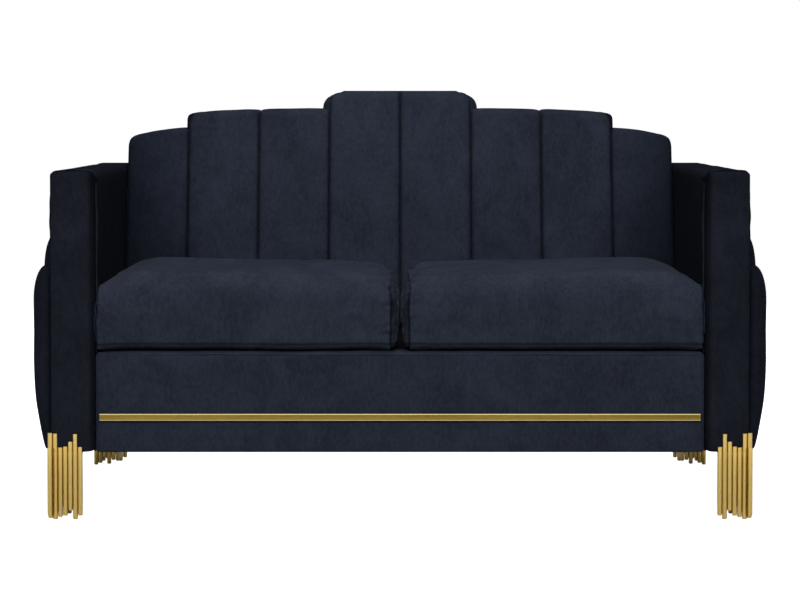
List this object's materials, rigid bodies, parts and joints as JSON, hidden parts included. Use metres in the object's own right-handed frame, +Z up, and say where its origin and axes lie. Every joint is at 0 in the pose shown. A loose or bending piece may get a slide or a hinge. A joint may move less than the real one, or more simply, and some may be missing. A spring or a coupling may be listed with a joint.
{
  "type": "two-seat channel-back sofa",
  "caption": "Compact velvet sofa with a stepped, channelled back, flat padded arms with stepped side channels, loose seat cushions, a metal trim strip and rod-bundle legs.",
  "frame": {"origin": "on the floor, under the middle of the sofa's outer box", "axes": "+X along the length, to the viewer's right as seen from the front; +Y from the front to the back; +Z up"},
  "size_m": [1.5548, 0.8696, 0.897],
  "materials": {
    "navy_velvet": "short-pile velvet, matt with a soft sheen",
    "leg_brass": "satin",
    "trim_brass": "brushed satin with bright edges",
    "frame_wood": "bare sawn hardwood and plywood",
    "spring_steel": "plain drawn wire",
    "black_cloth": "plain non-woven cloth"
  },
  "bodies": {
    "sofa_body": {"arm_bottom_rail_left": "frame_wood", "arm_front_post_left": "frame_wood", "arm_rear_post_left": "frame_wood", "arm_top_rail_left": "frame_wood", "back_upright_left": "frame_wood", "inside_arm_pad_left": "navy_velvet", "outside_arm_panel_left": "navy_velvet", "arm_top_pad_left": "navy_velvet", "arm_facing_left": "navy_velvet", "side_channel_left_1": "navy_velvet", "side_channel_left_2": "navy_velvet", "side_channel_left_3": "navy_velvet", "side_channel_left_4": "navy_velvet", "side_channel_left_5": "navy_velvet", "back_channel_left_1": "navy_velvet", "back_channel_left_2": "navy_velvet", "back_channel_left_3": "navy_velvet", "back_channel_left_4": "navy_velvet", "seat_side_rail_left": "frame_wood", "leg_front_left": "leg_brass", "leg_rear_left": "leg_brass", "arm_bottom_rail_right": "frame_wood", "arm_front_post_right": "frame_wood", "arm_rear_post_right": "frame_wood", "arm_top_rail_right": "frame_wood", "back_upright_right": "frame_wood", "inside_arm_pad_right": "navy_velvet", "outside_arm_panel_right": "navy_velvet", "arm_top_pad_right": "navy_velvet", "arm_facing_right": "navy_velvet", "side_channel_right_1": "navy_velvet", "side_channel_right_2": "navy_velvet", "side_channel_right_3": "navy_velvet", "side_channel_right_4": "navy_velvet", "side_channel_right_5": "navy_velvet", "back_channel_right_1": "navy_velvet", "back_channel_right_2": "navy_velvet", "back_channel_right_3": "navy_velvet", "back_channel_right_4": "navy_velvet", "seat_side_rail_right": "frame_wood", "leg_front_right": "leg_brass", "leg_rear_right": "leg_brass", "back_support_board": "frame_wood", "back_top_cover": "navy_velvet", "outside_back_panel": "navy_velvet", "seat_front_rail": "frame_wood", "seat_rear_rail": "frame_wood", "seat_centre_stretcher": "frame_wood", "front_border": "navy_velvet", "seat_deck": "black_cloth", "dust_cover": "black_cloth", "brass_trim_strip": "trim_brass", "seat_spring_1": "spring_steel", "seat_spring_2": "spring_steel", "seat_spring_3": "spring_steel", "seat_spring_4": "spring_steel", "seat_spring_5": "spring_steel"},
    "cushion_left": {"seat_cushion_left": "navy_velvet"},
    "cushion_right": {"seat_cushion_right": "navy_velvet"}
  },
  "joints": [
    {"name": "cushion_left_lift", "type": "slide", "parent": "sofa_body", "child": "cushion_left", "axis": [0, 0, 1], "range_m": [0, 0.35]},
    {"name": "cushion_right_lift", "type": "slide", "parent": "sofa_body", "child": "cushion_right", "axis": [0, 0, 1], "range_m": [0, 0.35]}
  ]
}
